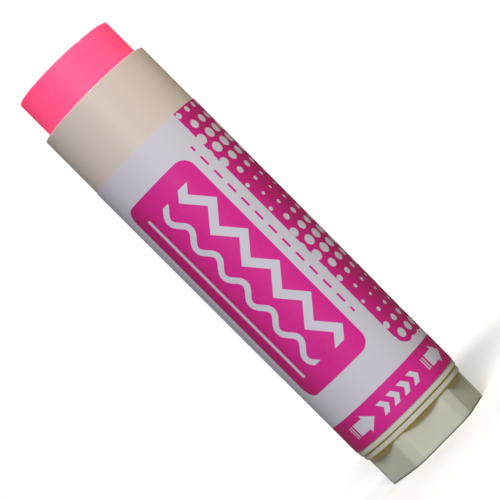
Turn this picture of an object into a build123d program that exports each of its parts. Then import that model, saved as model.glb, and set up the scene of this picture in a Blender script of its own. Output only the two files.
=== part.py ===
from build123d import *
import math
import os

# A twist-up paint crayon standing on its knob, with its axis along +Z and the middle of the
# knob's foot at the origin. Turning the knob turns a screw, which lifts the paint on a carrier.
# Sizes are in millimetres and angles in degrees.

# Barrel: a moulded tube with a floor, straight where a cap would seat and drafted below that,
# where its radius shrinks by the draft
barrel_length = 94.4
cap_seat_diameter = 28.6
cap_seat_length = 15.55
barrel_draft = 0.22
barrel_wall = 1.4
floor_thickness = 2.0
floor_fillet = 0.8
mouth_rounding = 0.15
foot_rounding = 0.25

# Guide ribs inside the barrel, which stop the carrier and the paint from turning
rib_count = 2
rib_width = 1.2
rib_height = 0.7
rib_root = 0.5
rib_below_mouth = 12.0

# Label: a printed wrap with an overlapped seam at the back
label_thickness = 0.12
adhesive_thickness = 0.03
label_foot_margin = 1.4
label_overlap = 4.0

# Knob: a six-sided grip with rounded corners under a round flange, hollow from below. The flange
# is inset from the barrel's foot, the corners from the flange, and the flats are cut to a depth
grip_sides = 6
grip_height = 7.6
grip_corner_inset = 0.5
grip_flat_depth = 1.1
grip_draft = 0.8
grip_corner_rounding = 2.0
grip_foot_rounding = 0.5
grip_turn = 4.75
flange_inset = 0.31
flange_thickness = 1.25
flange_rounding = 0.2
knob_wall = 1.7
knob_web = 2.0
hub_diameter = 11.0
hub_recess = 0.8
spoke_thickness = 1.1
spoke_recess = 1.6

# Feed screw: a left-hand thread of two starts, a collar, a journal and a square tail
thread_lead = 6.0
thread_starts = 2
thread_crest_diameter = 8.0
thread_root_diameter = 6.0
thread_crest_width = 0.83
thread_root_width = 1.17
screw_below_mouth = 8.0
screw_tip_chamfer = 0.6
collar_diameter = 14.0
collar_thickness = 1.4
journal_diameter = 9.0
tail_width = 6.0
tail_recess = 1.2

# Carrier: a shallow cup on a nut, which the paint is cast into
plate_thickness = 2.2
skirt_height = 5.0
skirt_wall = 1.2
nut_diameter = 13.0
nut_rise = 7.0

# Paint stick: its place as photographed, and its place when it is wound right in
paint_out = 9.4
paint_sunk = 1.5
paint_crown = 6.0
paint_rounding = 0.3
paint_slant = 0.8

# Clearances
knob_gap = 0.1
collar_play = 0.2
journal_clearance = 0.1
tail_clearance = 0.05
carrier_gap = 0.4
carrier_clearance = 0.3
thread_clearance = 0.25
rib_clearance = 0.25
paint_play = 0.2
paint_clearance = 0.4
casting_gap = 0.05

# Heights along the axis
flange_top = grip_height + flange_thickness
barrel_foot = flange_top + knob_gap
floor_top = barrel_foot + floor_thickness
mouth = barrel_foot + barrel_length
cap_seat_foot = mouth - cap_seat_length
label_foot = barrel_foot + label_foot_margin
rib_top = mouth - rib_below_mouth
collar_foot = floor_top + collar_play
collar_top = collar_foot + collar_thickness
screw_top = mouth - screw_below_mouth
wound_in = paint_out + paint_sunk
carrier_foot = collar_top + carrier_gap + wound_in
plate_top = carrier_foot + plate_thickness
skirt_top = plate_top + skirt_height
nut_top = plate_top + nut_rise
paint_foot = plate_top + casting_gap
paint_top = mouth + paint_out
paint_bore_top = paint_top - paint_crown
groove_top = rib_top + wound_in + rib_clearance

# Radii that several pieces share
seat_radius = cap_seat_diameter / 2
foot_radius = seat_radius - barrel_draft
bore_radius = seat_radius - barrel_wall
rib_tip_radius = bore_radius - rib_height
skirt_radius = bore_radius - carrier_clearance
paint_radius = bore_radius - paint_play
flange_radius = foot_radius - flange_inset
corner_radius = flange_radius - grip_corner_inset
flat_radius = corner_radius - grip_flat_depth
crest_radius = thread_crest_diameter / 2
root_radius = thread_root_diameter / 2


def turned(*outline):
    """A solid turned about the axis from a closed outline of (radius, height) points."""
    return revolve(Plane.XZ * make_face(Polyline(*outline, close=True)), Axis.Z)


def upright(section, foot, top):
    """A flat section drawn at the axis and raised between two heights."""
    return extrude(Pos(0, 0, foot) * section, top - foot)


def rings_at(piece, radius, height):
    """The round edges of a piece that have this radius and lie at this height."""
    def lies_there(edge):
        return abs(edge.radius - radius) < 0.01 and abs(edge.center().Z - height) < 0.01

    return piece.edges().filter_by(GeomType.CIRCLE).filter_by(lies_there)


def around_axis(piece, count):
    """Copies of a piece, evenly spaced about the axis from where it is."""
    return [Rot(0, 0, 360 * i / count) * piece for i in range(count)]


def barrel_radius(height):
    """The barrel's outer radius under the label, where its wall is drafted."""
    share = (height - barrel_foot) / (cap_seat_foot - barrel_foot)
    return foot_radius + share * barrel_draft


def rib_slots(top):
    """The room that the guide ribs need in a piece that slides along them, up to a height."""
    inner = rib_tip_radius - rib_clearance
    width = rib_width + 2 * rib_clearance
    slot = Pos((inner + bore_radius) / 2, 0) * Rectangle(bore_radius - inner, width)
    return around_axis(upright(slot, floor_top, top), rib_count)


def thread_point(radius, axial):
    """A point of the thread's cross section, from its distance along one turn of the thread."""
    angle = 2 * math.pi * axial / thread_lead
    return (radius * math.cos(angle), radius * math.sin(angle))


def thread(foot, top, growth=0.0):
    """The threaded core between two heights, grown all round to leave clearance in a nut."""
    pitch = thread_lead / thread_starts
    crest = crest_radius + growth
    root = root_radius + growth
    half_crest = thread_crest_width / 2 + growth / 2
    half_root = thread_root_width / 2 - growth / 2
    edges = []
    for start in range(thread_starts):
        ridge = start * pitch
        valley = ridge + pitch / 2
        crest_points = [thread_point(crest, ridge + a) for a in (-half_crest, 0, half_crest)]
        root_points = [thread_point(root, valley + a) for a in (-half_root, 0, half_root)]
        next_crest = thread_point(crest, ridge + pitch - half_crest)
        edges.append(ThreePointArc(*crest_points))
        edges.append(Line(crest_points[-1], root_points[0]))
        edges.append(ThreePointArc(*root_points))
        edges.append(Line(root_points[-1], next_crest))
    section = make_face(Wire(edges))
    phase = -360 * (foot - collar_top) / thread_lead
    face = (Pos(0, 0, foot) * Rot(0, 0, phase) * section).face()
    rise = top - foot
    return Solid.extrude_linear_with_rotation(
        face, (0, 0, foot), (0, 0, rise), -360 * rise / thread_lead
    )


def make_barrel():
    """The moulded tube: floor with a bearing hole, drafted outside, and guide ribs in its bore."""
    hole = journal_diameter / 2 + journal_clearance
    tube = turned(
        (hole, barrel_foot),
        (foot_radius, barrel_foot),
        (seat_radius, cap_seat_foot),
        (seat_radius, mouth),
        (bore_radius, mouth),
        (bore_radius, floor_top),
        (hole, floor_top),
    )
    lips = rings_at(tube, seat_radius, mouth) + rings_at(tube, bore_radius, mouth)
    tube = fillet(lips, mouth_rounding)
    tube = fillet(rings_at(tube, foot_radius, barrel_foot), foot_rounding)
    tube = fillet(rings_at(tube, bore_radius, floor_top), floor_fillet)
    middle = (rib_tip_radius + bore_radius + rib_root) / 2
    rib = Pos(middle, 0) * Rectangle(rib_height + rib_root, rib_width)
    return tube + around_axis(upright(rib, floor_top - rib_root, rib_top), rib_count)


def make_label():
    """The printed wrap, which follows the drafted wall, with a second layer where its ends overlap."""
    low = barrel_radius(label_foot) + adhesive_thickness
    high = barrel_radius(cap_seat_foot) + adhesive_thickness

    def layer(number, arc):
        inner = number * label_thickness
        outer = inner + label_thickness
        outline = Polyline(
            (low + inner, label_foot),
            (low + outer, label_foot),
            (high + outer, cap_seat_foot),
            (high + inner, cap_seat_foot),
            close=True,
        )
        return revolve(Plane.XZ * make_face(outline), Axis.Z, arc)

    overlap_arc = math.degrees(label_overlap / low)
    seam = Rot(0, 0, 90 - overlap_arc / 2) * layer(1, overlap_arc)
    return layer(0, 360) + seam


def grip_section(inset):
    """The grip's outline at its foot: flats whose corners end on a circle, drawn in by an inset."""
    flats = RegularPolygon(flat_radius - inset, grip_sides, major_radius=False)
    return Rot(0, 0, grip_turn) * (flats & Circle(corner_radius - inset))


def make_knob():
    """The twist knob: grip, flange, and the hub and spokes that stiffen its hollow underside."""
    grip = extrude(grip_section(0), grip_height, taper=-grip_draft)
    upright_edges = grip.edges().filter_by(lambda edge: abs(edge.tangent_at(0.5).Z) > 0.9)
    grip = fillet(upright_edges, grip_corner_rounding)
    grip = fillet(grip.edges().group_by(Axis.Z)[0], grip_foot_rounding)
    flange = upright(Circle(flange_radius), grip_height, flange_top)
    flange = fillet(flange.edges(), flange_rounding)
    web_foot = flange_top - knob_web
    hollow = upright(grip_section(knob_wall), 0, web_foot)
    hub = upright(Circle(hub_diameter / 2), hub_recess, flange_top)
    reach = flat_radius - knob_wall / 2
    spoke = Pos(reach / 2, 0) * Rectangle(reach, spoke_thickness)
    spoke = Rot(0, 0, grip_turn) * upright(spoke, spoke_recess, flange_top - knob_web / 2)
    socket_width = tail_width + 2 * tail_clearance
    socket = upright(Rectangle(socket_width, socket_width), 0, flange_top)
    return grip + flange - hollow + hub + around_axis(spoke, grip_sides) - socket


def make_screw():
    """The feed screw: its collar and the knob hold the barrel's floor between them."""
    ridge = thread(collar_top, screw_top)
    tip = crest_radius - screw_tip_chamfer
    envelope = turned(
        (0, collar_top),
        (2 * crest_radius, collar_top),
        (2 * crest_radius, screw_top - crest_radius - screw_tip_chamfer),
        (tip, screw_top),
        (0, screw_top),
    )
    collar = upright(Circle(collar_diameter / 2), collar_foot, collar_top)
    journal = upright(Circle(journal_diameter / 2), flange_top, collar_foot)
    tail = upright(Rectangle(tail_width, tail_width), tail_recess, flange_top)
    return (ridge & envelope) + collar + journal + tail


def make_carrier():
    """The carrier: a plate with a skirt round the paint's foot and a nut that climbs the screw."""
    cup = turned(
        (0, carrier_foot),
        (skirt_radius, carrier_foot),
        (skirt_radius, skirt_top),
        (skirt_radius - skirt_wall, skirt_top),
        (skirt_radius - skirt_wall, plate_top),
        (nut_diameter / 2, plate_top),
        (nut_diameter / 2, nut_top),
        (0, nut_top),
    )
    overrun = thread_lead / thread_starts
    bore = thread(carrier_foot - overrun, nut_top + overrun, thread_clearance)
    return cup - bore - rib_slots(skirt_top)


def make_paint():
    """The cast paint: seated in the carrier's cup, hollow round the screw, closed at its crown."""
    cup_radius = skirt_radius - skirt_wall - casting_gap
    nut_room = nut_diameter / 2 + casting_gap
    bore = crest_radius + paint_clearance
    slant_rise = paint_radius * math.tan(math.radians(paint_slant))
    stick = turned(
        (nut_room, paint_foot),
        (cup_radius, paint_foot),
        (cup_radius, skirt_top + casting_gap),
        (paint_radius, skirt_top + casting_gap),
        (paint_radius, paint_top + slant_rise),
        (0, paint_top + slant_rise),
        (0, paint_bore_top),
        (bore, paint_bore_top),
        (bore, nut_top + casting_gap),
        (nut_room, nut_top + casting_gap),
    )
    tip_plane = Plane(Pos(0, 0, paint_top) * Rot(0, paint_slant, 0))
    stick = split(stick, tip_plane, keep=Keep.BOTTOM)
    stick = fillet(stick.faces().sort_by(Axis.Z)[-1].edges(), paint_rounding)
    return stick - rib_slots(groove_top)


os.makedirs("parts", exist_ok=True)
pieces = {
    "barrel": make_barrel(),
    "label": make_label(),
    "twist_knob": make_knob(),
    "feed_screw": make_screw(),
    "carrier": make_carrier(),
    "paint_stick": make_paint(),
}
for name, piece in pieces.items():
    export_step(piece, f"parts/{name}.step")
    size = piece.bounding_box().size
    print(f"{name}: {piece.volume / 1000:.2f} cm3, {size.X:.2f} x {size.Y:.2f} x {size.Z:.2f} mm")
print(f"feed travel: {-wound_in:.2f} to {screw_top - nut_top:.2f} mm")
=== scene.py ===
import math

import bmesh
import bpy
from mathutils import Matrix, Vector, noise


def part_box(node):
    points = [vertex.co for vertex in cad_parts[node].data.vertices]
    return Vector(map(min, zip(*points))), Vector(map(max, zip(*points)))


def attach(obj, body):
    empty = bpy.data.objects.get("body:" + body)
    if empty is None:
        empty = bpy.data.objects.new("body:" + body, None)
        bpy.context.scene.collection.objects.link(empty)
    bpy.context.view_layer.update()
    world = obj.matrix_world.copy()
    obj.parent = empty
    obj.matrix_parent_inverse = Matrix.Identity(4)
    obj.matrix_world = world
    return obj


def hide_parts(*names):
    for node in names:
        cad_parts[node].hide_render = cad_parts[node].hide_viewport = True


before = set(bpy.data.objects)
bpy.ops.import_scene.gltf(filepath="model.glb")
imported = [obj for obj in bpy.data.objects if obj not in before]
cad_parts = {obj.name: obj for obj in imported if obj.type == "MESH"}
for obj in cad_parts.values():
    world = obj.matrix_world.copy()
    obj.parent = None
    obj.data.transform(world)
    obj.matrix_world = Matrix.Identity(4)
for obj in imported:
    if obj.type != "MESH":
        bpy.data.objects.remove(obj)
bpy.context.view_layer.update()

# Barrel
# A straight tube with a floor, injection moulded from milky natural plastic. The paint inside
# shows through its wall and warms the bare top, and a little of it has rubbed off on the mouth.
mm = 0.001
barrel_low, barrel_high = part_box("barrel")
barrel_foot = barrel_low.z / mm
mouth = barrel_high.z / mm
bore_radius = 12.9
outside_from = 11.9
ivory = (0.635, 0.63, 0.56, 1.0)
warm_beige = (0.675, 0.592, 0.56, 1.0)
rubbed_pink = (0.86, 0.50, 0.53, 1.0)
# Painted shade: a deep yellow for tucked-in places, standing in for shade lit through milky plastic.
painted_shade_olive = (0.80, 0.62, 0.09, 1.0)
milky_radius = (1.0, 0.72, 0.35)


class Field:
    """A number that varies over a surface: one output of a material's nodes, used in sums."""

    def __init__(self, tree, socket):
        self.tree = tree
        self.socket = socket

    def math(self, operation, *others):
        node = self.tree.nodes.new("ShaderNodeMath")
        node.operation = operation
        for slot, value in zip(node.inputs, (self, *others)):
            feed(self.tree, value, slot)
        return Field(self.tree, node.outputs[0])

    def __add__(self, other):
        return self.math("ADD", other)

    def __sub__(self, other):
        return self.math("SUBTRACT", other)

    def __mul__(self, other):
        return self.math("MULTIPLY", other)

    def __truediv__(self, other):
        return self.math("DIVIDE", other)

    def __abs__(self):
        return self.math("ABSOLUTE")

    def least(self, other):
        return self.math("MINIMUM", other)

    def most(self, other):
        return self.math("MAXIMUM", other)

    def sine(self):
        return self.math("SINE")

    def cosine(self):
        return self.math("COSINE")

    def root(self):
        return self.math("SQRT")

    def floor(self):
        return self.math("FLOOR")

    def swing(self, size):
        """The same field going up to a size and back down to 0, over and over."""
        return self.math("PINGPONG", size)

    def repeat(self, size):
        """The same field counted from the middle of the nearest of many equal steps."""
        return self.math("WRAP", size / 2, -size / 2)

    def ramp(self, low, high, to_low=0.0, to_high=1.0):
        """A soft step from one value to another, between two values of this field."""
        node = self.tree.nodes.new("ShaderNodeMapRange")
        node.interpolation_type = "SMOOTHSTEP"
        for slot, value in zip(node.inputs[:5], (self, low, high, to_low, to_high)):
            feed(self.tree, value, slot)
        return Field(self.tree, node.outputs[0])


def feed(tree, value, slot):
    """Gives a node's slot a field, or a plain number or colour."""
    if isinstance(value, Field):
        tree.links.new(value.socket, slot)
    else:
        slot.default_value = value


def new_finish(name):
    """A material with its shader, and the coordinates of the piece it is on, in millimetres."""
    material = bpy.data.materials.new(name)
    material.use_nodes = True
    tree = material.node_tree
    shader = tree.nodes["Principled BSDF"]
    place = tree.nodes.new("ShaderNodeTexCoord")
    split = tree.nodes.new("ShaderNodeSeparateXYZ")
    tree.links.new(place.outputs["Object"], split.inputs[0])
    x, y, z = (Field(tree, output) * (1 / mm) for output in split.outputs)
    return material, shader, x, y, z


def vector_of(x, y, z):
    """Three fields as the coordinates for a texture."""
    node = x.tree.nodes.new("ShaderNodeCombineXYZ")
    for slot, value in zip(node.inputs, (x, y, z)):
        feed(x.tree, value, slot)
    return Field(x.tree, node.outputs[0])


def length_of(x, y):
    """How far two fields, taken as coordinates, are from their origin."""
    return (x * x + y * y).root()


def cloud(where, size, detail=3.0):
    """Soft random mottling from 0 to 1, whose blotches are about this size."""
    node = where.tree.nodes.new("ShaderNodeTexNoise")
    feed(where.tree, where, node.inputs["Vector"])
    node.inputs["Scale"].default_value = 1 / size
    node.inputs["Detail"].default_value = detail
    return Field(where.tree, node.outputs["Fac"])


def blend(share, first, second):
    """One colour turning into another as the share goes from 0 to 1."""
    node = share.tree.nodes.new("ShaderNodeMix")
    node.data_type = "RGBA"
    slots = (node.inputs[0], node.inputs[6], node.inputs[7])
    for slot, value in zip(slots, (share, first, second)):
        feed(share.tree, value, slot)
    return Field(share.tree, node.outputs[2])


def duller(colour, share):
    """A plain colour with this share of its light."""
    return [share * part for part in colour[:3]] + [1.0]


def relief(shader, height, depth):
    """Turns a field into fine surface relief of a depth in millimetres."""
    node = height.tree.nodes.new("ShaderNodeBump")
    node.inputs["Strength"].default_value = 1.0
    node.inputs["Distance"].default_value = depth * mm
    feed(height.tree, height, node.inputs["Height"])
    height.tree.links.new(node.outputs["Normal"], shader.inputs["Normal"])


def finish_shader(shader, colour, roughness):
    """Gives the shader its colour and its roughness, each a field or a plain value."""
    tree = shader.id_data
    feed(tree, colour, shader.inputs["Base Color"])
    feed(tree, roughness, shader.inputs["Roughness"])


def shine_through(shader, share, depth, radius):
    """Lets light into the material: how much, how deep in millimetres, and in which colours."""
    shader.inputs["Subsurface Weight"].default_value = share
    shader.inputs["Subsurface Scale"].default_value = depth * mm
    shader.inputs["Subsurface Radius"].default_value = radius


def dress(node, material):
    """Gives a construction piece its finish."""
    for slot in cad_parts[node].material_slots:
        slot.material = material


def rub_paint(colour, x, y, z, top):
    """Paint rubbed off round a mouth at this height, in patches, most of it at the bore's edge."""
    rub_height, rub_width = 1.1, 1.5
    smear = cloud(vector_of(x, y, z * 0.3), size=2.2, detail=4.0)
    nearness = length_of(x, y).ramp(bore_radius, bore_radius + rub_width, 1.0, 0.3)
    patches = (smear * 1.8 + nearness - 0.9).ramp(0.0, 1.0)
    return blend(z.ramp(top - rub_height, top - 0.1) * patches, colour, rubbed_pink)


def paint_recess_shade(colour, x, y, z, low, high):
    """Painted shade: a deep yellow where the outside is tucked in between two heights, standing in for
    shade lit through the milky plastic.
    """
    corner_reach, fade_in, fade_out = 2.4, 1.4, 0.6
    corner = x.tree.nodes.new("ShaderNodeAmbientOcclusion")
    corner.inputs["Distance"].default_value = corner_reach * mm
    tucked_in = Field(x.tree, corner.outputs["AO"]).ramp(0.56, 0.96, 1.0, 0.0)
    zone = z.ramp(low, low + fade_in) * z.ramp(high, high + fade_out, 1.0, 0.0)
    outside = length_of(x, y).ramp(outside_from - 0.3, outside_from + 0.3)
    return blend(tucked_in * zone * outside, colour, painted_shade_olive)


def moulded_plastic(name, plain, tint=None, flow=1.0, recess=None, rubbed_top=None):
    """Milky plastic with flow marks, drawn out along the axis where flow is less than 1.

    The tint is a second colour and the heights between which the plastic turns into it, the
    recess a span of heights whose tucked-in places get a painted shade, and the rubbed top the height of
    a mouth.
    """
    material, shader, x, y, z = new_finish(name)
    mottle = cloud(vector_of(x, y, z * flow), size=5.0)
    grain = cloud(vector_of(x, y, z), size=0.35, detail=2.0)
    colour = plain
    if tint:
        tinted, tint_from, tint_to = tint
        colour = blend((z + mottle * 4.0 - 2.0).ramp(tint_from, tint_to), plain, tinted)
    colour = blend(mottle.ramp(0.25, 0.8, 0.0, 0.25), colour, duller(plain, 0.93))
    if rubbed_top:
        colour = rub_paint(colour, x, y, z, rubbed_top)
    if recess:
        colour = paint_recess_shade(colour, x, y, z, *recess)
    finish_shader(shader, colour, grain.ramp(0.2, 0.8, 0.36, 0.46))
    relief(shader, grain * 0.5 + mottle, depth=0.012)
    return material, shader


# Its foot gets a painted shade, a deep yellow in the gap where it is tucked in.
milky_barrel, barrel_shader = moulded_plastic(
    "milky_barrel", ivory, tint=(warm_beige, 12.0, 40.0), flow=0.25,
    recess=(0.0, barrel_foot + 0.4), rubbed_top=mouth)
shine_through(barrel_shader, share=0.2, depth=1.6, radius=milky_radius)
dress("barrel", milky_barrel)

# Label
# A wrap of white plastic film printed in one ink, glued round the barrel with its ends
# overlapped at the back. Round its foot runs a band of arrows that show which way to turn.
label_low, label_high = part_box("label")
label_foot = label_low.z / mm
label_radius = label_high.x / mm
label_overlap = 4.0
label_round = 2 * math.pi * label_radius + label_overlap
film_white = (0.628, 0.610, 0.725, 1.0)
ink_magenta = (0.70, 0.028, 0.31, 1.0)
ink_deep = (0.645, 0.022, 0.275, 1.0)
# Painted shade: the ink turns darker away from the front, toward the sides.
ink_side_shade = (0.525, 0.019, 0.183, 1.0)
ink_edge = 0.06
print_middle = 42.4
head_length = 2.9
head_height = 4.6


def round_box(x, y, half_width, half_height, corner):
    """The distance to a box with rounded corners, centred on the origin, less than 0 inside."""
    over_x = abs(x) - (half_width - corner)
    over_y = abs(y) - (half_height - corner)
    outside = length_of(over_x.most(0.0), over_y.most(0.0))
    return outside + over_x.most(over_y).least(0.0) - corner


def arrow(x, y, length, shaft_height):
    """The distance to a block arrow that points along x, centred on the origin."""
    tip = length / 2
    shaft_half = (length - head_length) / 2
    slope = head_height / 2 / head_length
    head = (abs(y) + (x - tip) * slope) * (1 / math.hypot(1.0, slope))
    head = head.most(x * -1.0 + (tip - head_length))
    shaft = round_box(x + (tip - shaft_half), y, shaft_half + 0.1, shaft_height / 2, corner=0.05)
    return head.least(shaft)


def open_arrow(x, y, stroke, height):
    """The distance to an open arrow head that points along x, with its tip near the origin."""
    slope = 0.75
    slant = (x + abs(y) * slope) * (1 / math.hypot(1.0, slope))
    return (abs(slant) - stroke / 2).most(abs(y) - height / 2)


def any_of(first, *others):
    """The distance to the nearest of several shapes."""
    for other in others:
        first = first.least(other)
    return first


def cut_out(shape, hole):
    """The distance to a shape with another shape cut out of it."""
    return shape.most(hole * -1.0)


def band_print(along, up):
    """The band at the foot: an arrow with bars behind it in each quarter, and open heads in front."""
    height = 7.42
    arrow_place = -9.15
    rise = up - height / 2
    step = (along - arrow_place).repeat(label_round / 4)
    marks = [arrow(step, rise, length=6.0, shaft_height=2.95)]
    for behind in (3.85, 4.55):
        marks.append(round_box(step + behind, rise, half_width=0.16, half_height=1.48, corner=0.05))
    for place in (-2.5, 0.5, 3.5, 6.5):
        marks.append(open_arrow(along - place, rise, stroke=1.15, height=3.0))
    return cut_out(up - height, any_of(*marks))


def panel_print(along, up):
    """The panel in front, with three strokes of the crayon: a fine line, a wave and a zigzag."""
    panel_place, line_place = -5.6, -12.0
    high = up - print_middle
    panel = round_box(along - panel_place, high, half_width=10.2, half_height=27.4, corner=3.0)
    fine_line = round_box(along - line_place, high, half_width=0.4, half_height=23.0, corner=0.4)

    wave_place, wave_swing, wave_turns, wave_half = -6.9, 1.2, 2 * math.pi / 8.0, 0.7
    turn = up * wave_turns
    bend = turn.cosine() * (wave_swing * wave_turns)
    wave = abs(along - wave_place - turn.sine() * wave_swing) / (bend * bend + 1.0).root() - wave_half
    wave = wave.most(abs(high) - 22.6)

    zigzag_place, zigzag_limb, zigzag_slope, zigzag_half = -0.2, 4.6, 0.85, 1.0
    zigzag_line = ((up + 1.0).swing(zigzag_limb) - zigzag_limb / 2) * zigzag_slope
    zigzag = abs(along - zigzag_place - zigzag_line) * (1 / math.hypot(1.0, zigzag_slope)) - zigzag_half
    zigzag = zigzag.most(abs(high) - 23.0)
    return cut_out(panel, any_of(fine_line, wave, zigzag))


def column_print(along, up):
    """The column that runs off the top edge, with rows of dots that grow and shrink along it."""
    column_place, column_middle, pitch, swell_length = 21.0, 45.4, 3.4, 30.0
    column = round_box(
        along - column_place, up - column_middle, half_width=11.6, half_height=36.0, corner=3.0)
    dot_radius = (up * (2 * math.pi / swell_length)).sine() * 0.45 + 0.85
    odd_row = (up * (1 / pitch)).floor().swing(1.0)
    across = (along + odd_row * (pitch / 2)).repeat(pitch)
    upright = (up - pitch / 2).repeat(pitch)
    return cut_out(column, length_of(across, upright) - dot_radius)


def rule_print(along, up):
    """The dashed rule beside the panel."""
    rule_place, rule_middle, rule_half, pitch = 6.9, 46.0, 24.0, 4.0
    upright = (up - pitch / 2).repeat(pitch)
    dashes = round_box(along - rule_place, upright, half_width=0.28, half_height=1.25, corner=0.28)
    return dashes.most(abs(up - rule_middle) - rule_half)


def sign_print(along, up):
    """The sign on the back, in a thin frame: turn the knob and the paint comes out."""
    sign_place, knob_height = -32.6, -12.2
    left, high = along - sign_place, up - print_middle
    crayon, arrows = left + 3.0, left - 3.4
    return any_of(
        abs(round_box(left, high, half_width=8.8, half_height=19.0, corner=2.0)) - 0.25,
        round_box(crayon, high - knob_height, half_width=2.5, half_height=1.5, corner=0.3),
        round_box(crayon, high + 0.9, half_width=3.0, half_height=9.0, corner=0.3),
        round_box(crayon, high - 12.0, half_width=2.5, half_height=3.1, corner=0.5),
        arrow(arrows, high - knob_height, length=6.0, shaft_height=2.2),
        arrow(high - 9.6, arrows, length=8.0, shaft_height=2.2),
    )


def printed_film():
    """White film with its print, drawn by distances up it and along the wrap from its front."""
    material, shader, x, y, z = new_finish("printed_film")
    lap = label_overlap / 2 / label_radius
    aside = x * math.cos(lap) + y * math.sin(lap)
    forward = x * math.sin(lap) - y * math.cos(lap)
    along = (aside.math("ARCTAN2", forward) + lap) * label_radius
    up = z - label_foot
    motifs = (band_print, panel_print, column_print, rule_print, sign_print)
    drawing = any_of(*(motif(along, up) for motif in motifs))
    ink = drawing.ramp(-ink_edge, ink_edge, 1.0, 0.0)

    fibre = cloud(vector_of(x, y, z), size=0.6, detail=4.0)
    press = cloud(vector_of(x, y, z), size=9.0)
    white = blend(press, film_white, duller(film_white, 0.97))
    magenta = blend((fibre + press * 0.6).ramp(0.5, 1.2), ink_magenta, ink_deep)
    # Painted shade: the ink darkens away from the front, toward the sides.
    magenta = blend(abs(along).ramp(6.0, 15.0), magenta, ink_side_shade)
    finish_shader(shader, blend(ink, white, magenta), fibre.ramp(0.2, 0.8, 0.42, 0.52) - ink * 0.06)
    relief(shader, fibre * 0.4 + press * 2.0 + ink * 0.5, depth=0.01)
    shader.inputs["Specular IOR Level"].default_value = 0.2
    return material


dress("label", printed_film())

# Feed screw
# A coarse left-hand screw moulded in natural plastic, with a collar that bears on the barrel's
# floor and a square tail that is pressed into the knob.
acetal_white = (0.66, 0.65, 0.60, 1.0)
screw_plastic, screw_shader = moulded_plastic("screw_plastic", acetal_white)
shine_through(screw_shader, share=0.1, depth=1.0, radius=milky_radius)
dress("feed_screw", screw_plastic)

# Twist knob
# A six-sided grip under a thin round flange, moulded hollow from below in the same natural
# plastic as the barrel. It is pressed on the screw's tail and turns with it.
# From this height up, the grip gets a painted shade, a deep yellow where it is tucked in under the
# flange.
recess_from = 5.0
ivory_knob, knob_shader = moulded_plastic("ivory_knob", ivory, recess=(recess_from, mouth))
shine_through(knob_shader, share=0.5, depth=2.0, radius=(1.0, 0.8, 0.2))
dress("twist_knob", ivory_knob)

# Carrier
# A shallow cup on a nut, moulded in natural plastic. It climbs the screw, kept from turning by
# the barrel's ribs, and holds the foot of the paint.
carrier_plastic, carrier_shader = moulded_plastic("carrier_plastic", acetal_white)
shine_through(carrier_shader, share=0.1, depth=1.0, radius=milky_radius)
dress("carrier", carrier_plastic)

# Paint stick
# Soft waxy paint in a fluorescent pink, cast on its carrier inside the barrel, which left rings
# round it, ripples and pits on its top and a groove for each rib. Its rim is a little worn.
paint_low, paint_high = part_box("paint_stick")
carrier_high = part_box("carrier")[1].z / mm
paint_foot = paint_low.z / mm
paint_radius = paint_high.x / mm
paint_slant = math.tan(math.radians(0.8))
paint_top = paint_high.z / mm - paint_radius * paint_slant
paint_bore = 4.4
crown_floor = paint_top - 6.0
nut_room = 6.55
cup_radius = 11.35
cup_rim = carrier_high - 1.95
rim_rounding = 0.3
rim_parts = 6
groove_top = 102.5
groove_floor = 11.95
groove_half = 0.85
paint_sides = 192
top_rings = 60
side_row = 0.6
ring_depth = 0.016
lump_depth = 0.008
ripple_depth = 0.045
dip_depth = 0.16
wear_depth = 0.08
worn_height = 1.2
nick_depth = 0.35
nick_x = 5.6
nick_y = -11.4
pits = [
    (-4.2, 3.1, 0.55),
    (2.6, -5.2, 0.42),
    (6.1, 4.4, 0.48),
    (-7.4, -3.6, 0.38),
    (0.8, 7.9, 0.44),
    (-1.6, -1.9, 0.34),
]
paint_pink = (0.95, 0.11, 0.30, 1.0)
paint_deep = (0.94, 0.094, 0.27, 1.0)
# Painted light: a glow colour for the paint, standing in for its fluorescent pigment.
painted_glow = (1.0, 0.02, 0.10, 1.0)


def stick_outline():
    """The ideal stick's outline as radii and heights, from the middle of its top to its bore's end."""
    flat_radius = paint_radius - rim_rounding
    outline = [(flat_radius * ring / top_rings, paint_top) for ring in range(top_rings)]
    for part in range(rim_parts + 1):
        angle = math.pi / 2 * part / rim_parts
        outline.append((
            flat_radius + rim_rounding * math.sin(angle),
            paint_top - rim_rounding * (1 - math.cos(angle)),
        ))
    side_top = paint_top - rim_rounding - 0.5
    rows = math.ceil((side_top - cup_rim) / side_row)
    outline += [(paint_radius, side_top + (cup_rim - side_top) * row / rows) for row in range(rows + 1)]
    outline += [
        (cup_radius, cup_rim),
        (cup_radius, paint_foot),
        (nut_room, paint_foot),
        (nut_room, carrier_high),
        (paint_bore, carrier_high),
        (paint_bore, crown_floor),
        (0, crown_floor),
    ]
    return outline


def sink_side(spot, radius):
    """How far the side lies inside the ideal stick: its rings and lumps, or a rib's groove."""
    if abs(spot.y) < groove_half and radius > groove_floor and spot.z < groove_top:
        return radius - groove_floor
    if 1e-6 <= radius <= cup_radius + 0.1:
        return 0.0
    rings = noise.noise(Vector((spot.x * 0.07, spot.y * 0.07, spot.z * 0.8)))
    lumps = noise.noise(spot * 0.35)
    return ring_depth * (1 + rings) + lump_depth * (1 + lumps)


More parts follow.
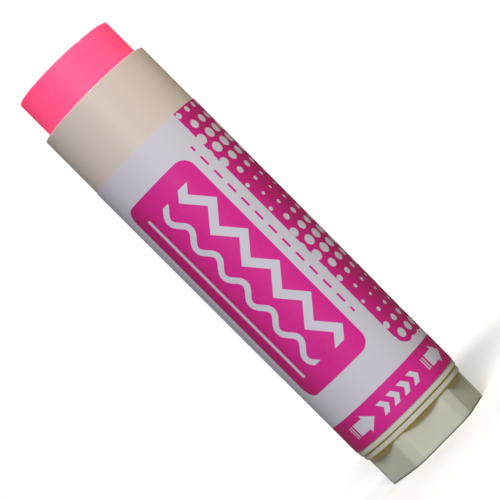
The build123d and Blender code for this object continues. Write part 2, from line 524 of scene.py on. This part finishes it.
def sink_top(spot, radius):
    """How far the top lies below the ideal one: ripples, dips and pits, and wear at the rim."""
    sunk = 0.0
    if spot.z > paint_top - 1e-4:
        inside = min(1.0, max(0.0, (paint_radius - 0.5 - radius) / 1.5))
        swirl = noise.noise(Vector((spot.x * 0.22, spot.y * 0.22, 7.0)))
        ripple = math.sin(radius * 3.2 + swirl * 6.0)
        sunk += inside * (dip_depth * (1 + swirl) - ripple_depth * ripple)
        for pit_x, pit_y, size in pits:
            away = math.hypot(spot.x - pit_x, spot.y - pit_y)
            sunk += size * math.exp(-(away / size) ** 2)
    if spot.z > paint_top - worn_height:
        wear = 0.5 + 0.5 * noise.noise(Vector((spot.x * 0.25, spot.y * 0.25, 3.0)))
        nick = math.exp(-((spot.x - nick_x) / 0.45) ** 2 - ((spot.y - nick_y) / 0.6) ** 2)
        sunk += wear_depth * wear + nick_depth * nick
    return sunk


def cast_place(spot):
    """Where a point of the ideal stick lies on the cast one, in millimetres."""
    radius = math.hypot(spot.x, spot.y)
    narrowed = (radius - sink_side(spot, radius)) / radius if radius > 1e-6 else 1.0
    slanted = min(1.0, max(0.0, (spot.z - crown_floor) / (paint_top - crown_floor)))
    lowered = spot.x * paint_slant * slanted + sink_top(spot, radius)
    return Vector((spot.x * narrowed, spot.y * narrowed, spot.z - lowered))


stick_shape = bmesh.new()
ring = [stick_shape.verts.new((radius, 0.0, height)) for radius, height in stick_outline()]
edges = [stick_shape.edges.new(pair) for pair in zip(ring, ring[1:])]
bmesh.ops.spin(
    stick_shape, geom=ring + edges, axis=(0, 0, 1), angle=2 * math.pi, steps=paint_sides, use_merge=True)
bmesh.ops.remove_doubles(stick_shape, verts=stick_shape.verts, dist=1e-4)
bmesh.ops.recalc_face_normals(stick_shape, faces=stick_shape.faces)
for vertex in stick_shape.verts:
    vertex.co = cast_place(vertex.co) * mm
cast_mesh = bpy.data.meshes.new("cast_paint")
stick_shape.to_mesh(cast_mesh)
stick_shape.free()
cast_mesh.shade_smooth()
cast_mesh.set_sharp_from_angle(angle=math.radians(45))
cast_paint = bpy.data.objects.new("cast_paint", cast_mesh)
bpy.context.scene.collection.objects.link(cast_paint)


def waxy_paint():
    """Pink paint with faint rings, a soft sheen and a painted glow of its own, standing in for its
    fluorescent pigment.
    """
    material, shader, x, y, z = new_finish("waxy_paint")
    rings = cloud(vector_of(x * 0.06, y * 0.06, z), size=0.9, detail=4.0)
    lumps = cloud(vector_of(x, y, z), size=3.0)
    shade = (rings + lumps * 0.5).ramp(0.5, 1.0)
    finish_shader(shader, blend(shade, paint_pink, paint_deep), lumps.ramp(0.2, 0.8, 0.42, 0.56))
    relief(shader, rings + lumps * 0.8, depth=0.02)
    # Painted light: the paint glows a little of its own, though it is no lamp.
    shader.inputs["Emission Color"].default_value = painted_glow
    shader.inputs["Emission Strength"].default_value = 0.42
    shine_through(shader, share=0.15, depth=1.2, radius=(1.0, 0.3, 0.4))
    return material


cast_mesh.materials.append(waxy_paint())
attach(cast_paint, "lift")
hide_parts("paint_stick")

# Floor
# A plain pale sheet that the crayon stands on, pure white further off. It throws little light
# back, so that the knob keeps its soft shadows.
floor_half = 0.9
floor_white = (0.96, 0.96, 0.96, 1.0)
floor_bounce = (0.20, 0.19, 0.14, 1.0)
pure_white = (1.0, 1.0, 1.0, 1.0)
fade_from = 60.0
fade_to = 360.0
floor_mesh = bpy.data.meshes.new("floor")
corners = [(-1, -1), (1, -1), (1, 1), (-1, 1)]
floor_mesh.from_pydata([(floor_half * a, floor_half * b, 0.0) for a, b in corners], [], [(0, 1, 2, 3)])
floor = bpy.data.objects.new("floor", floor_mesh)
bpy.context.scene.collection.objects.link(floor)
floor_paper, floor_shader, floor_x, floor_y, _ = new_finish("floor_paper")
light_path = floor_paper.node_tree.nodes.new("ShaderNodeLightPath")
seen = Field(floor_paper.node_tree, light_path.outputs["Is Camera Ray"])
finish_shader(floor_shader, blend(seen, floor_bounce, floor_white), 1.0)
far_off = length_of(floor_x, floor_y).ramp(fade_from, fade_to)
floor_shader.inputs["Emission Color"].default_value = pure_white
feed(floor_paper.node_tree, far_off * seen, floor_shader.inputs["Emission Strength"])
floor_shader.inputs["Specular IOR Level"].default_value = 0.0
floor_mesh.materials.append(floor_paper)

# Studio light
# One soft light in front and above with a weak one below it, a warmer small one from the right,
# two behind for the far side, and an even glow all round.
bpy.context.scene.view_settings.view_transform = "Standard"
white_light = (1.0, 1.0, 1.0)
warm_light = (1.0, 0.84, 0.56)
even_glow = (0.092, 0.092, 0.097, 1.0)
middle_height = 0.056
shoulder_height = 0.095


def toward(azimuth, elevation):
    """The direction of a light, by its angle round from the front and above the floor."""
    turn, lift = math.radians(azimuth), math.radians(elevation)
    return Vector((math.sin(turn) * math.cos(lift), -math.cos(turn) * math.cos(lift), math.sin(lift)))


def hang(lamp, direction, reach, aim_height, glossy):
    """Puts a lamp in a direction from a height on the axis, turned to it."""
    holder = bpy.data.objects.new(lamp.name, lamp)
    holder.rotation_euler = direction.to_track_quat("Z", "Y").to_euler()
    holder.location = direction * reach + Vector((0.0, 0.0, aim_height))
    holder.visible_camera = False
    holder.visible_glossy = glossy
    bpy.context.scene.collection.objects.link(holder)


def far_light(name, azimuth, elevation, level, spread):
    """A soft light from far away, at the level that it gives an upright face turned to it."""
    lamp = bpy.data.lights.new(name, "SUN")
    lamp.energy = level * math.pi / math.cos(math.radians(elevation))
    lamp.angle = math.radians(spread)
    hang(lamp, toward(azimuth, elevation), reach=2.0, aim_height=0.0, glossy=False)


def near_light(name, azimuth, elevation, level, reach, width, aim_height, tint):
    """A round soft box at a distance, at the level that it gives an upright face at a height."""
    lamp = bpy.data.lights.new(name, "AREA")
    lamp.shape = "DISK"
    lamp.size = width
    lamp.color = tint
    lamp.energy = level * (math.pi * reach) ** 2 / math.cos(math.radians(elevation))
    hang(lamp, toward(azimuth, elevation), reach, aim_height, glossy=True)


near_light("key_light", azimuth=-5.5, elevation=46.5, level=0.59, reach=2.0, width=0.6,
           aim_height=middle_height, tint=white_light)
near_light("front_light", azimuth=-5.5, elevation=8.0, level=0.125, reach=2.0, width=0.6,
           aim_height=middle_height, tint=white_light)
near_light("warm_light", azimuth=65.0, elevation=38.0, level=0.27, reach=0.21, width=0.07,
           aim_height=shoulder_height, tint=warm_light)
far_light("left_back_light", azimuth=-163.0, elevation=20.0, level=0.34, spread=30.0)
far_light("right_back_light", azimuth=163.0, elevation=20.0, level=0.38, spread=30.0)

world = bpy.data.worlds.new("studio")
world.use_nodes = True
bpy.context.scene.world = world
sky = world.node_tree.nodes["Background"]
world_path = world.node_tree.nodes.new("ShaderNodeLightPath")
looked_at = Field(world.node_tree, world_path.outputs["Is Camera Ray"])
feed(world.node_tree, blend(looked_at, even_glow, pure_white), sky.inputs["Color"])

# Camera
# It looks level at the printed front from half a metre away, rolled so that the paint points
# to the upper left.
distance = 0.519
aim = Vector((0.16 * mm, 0.0, 56.7 * mm))
tilt = math.radians(-0.6)
roll = math.radians(44.94)
ahead = Vector((0.0, math.cos(tilt), -math.sin(tilt)))
level = Vector((1.0, 0.0, 0.0))
overhead = level.cross(ahead)
rightward = level * math.cos(roll) - overhead * math.sin(roll)
upward = level * math.sin(roll) + overhead * math.cos(roll)
camera = bpy.data.objects.new("camera", bpy.data.cameras.new("camera"))
camera.data.lens = 176.0
camera.matrix_world = Matrix((rightward, upward, -ahead)).transposed().to_4x4()
camera.location = aim - ahead * distance
bpy.context.scene.collection.objects.link(camera)
bpy.context.scene.camera = camera
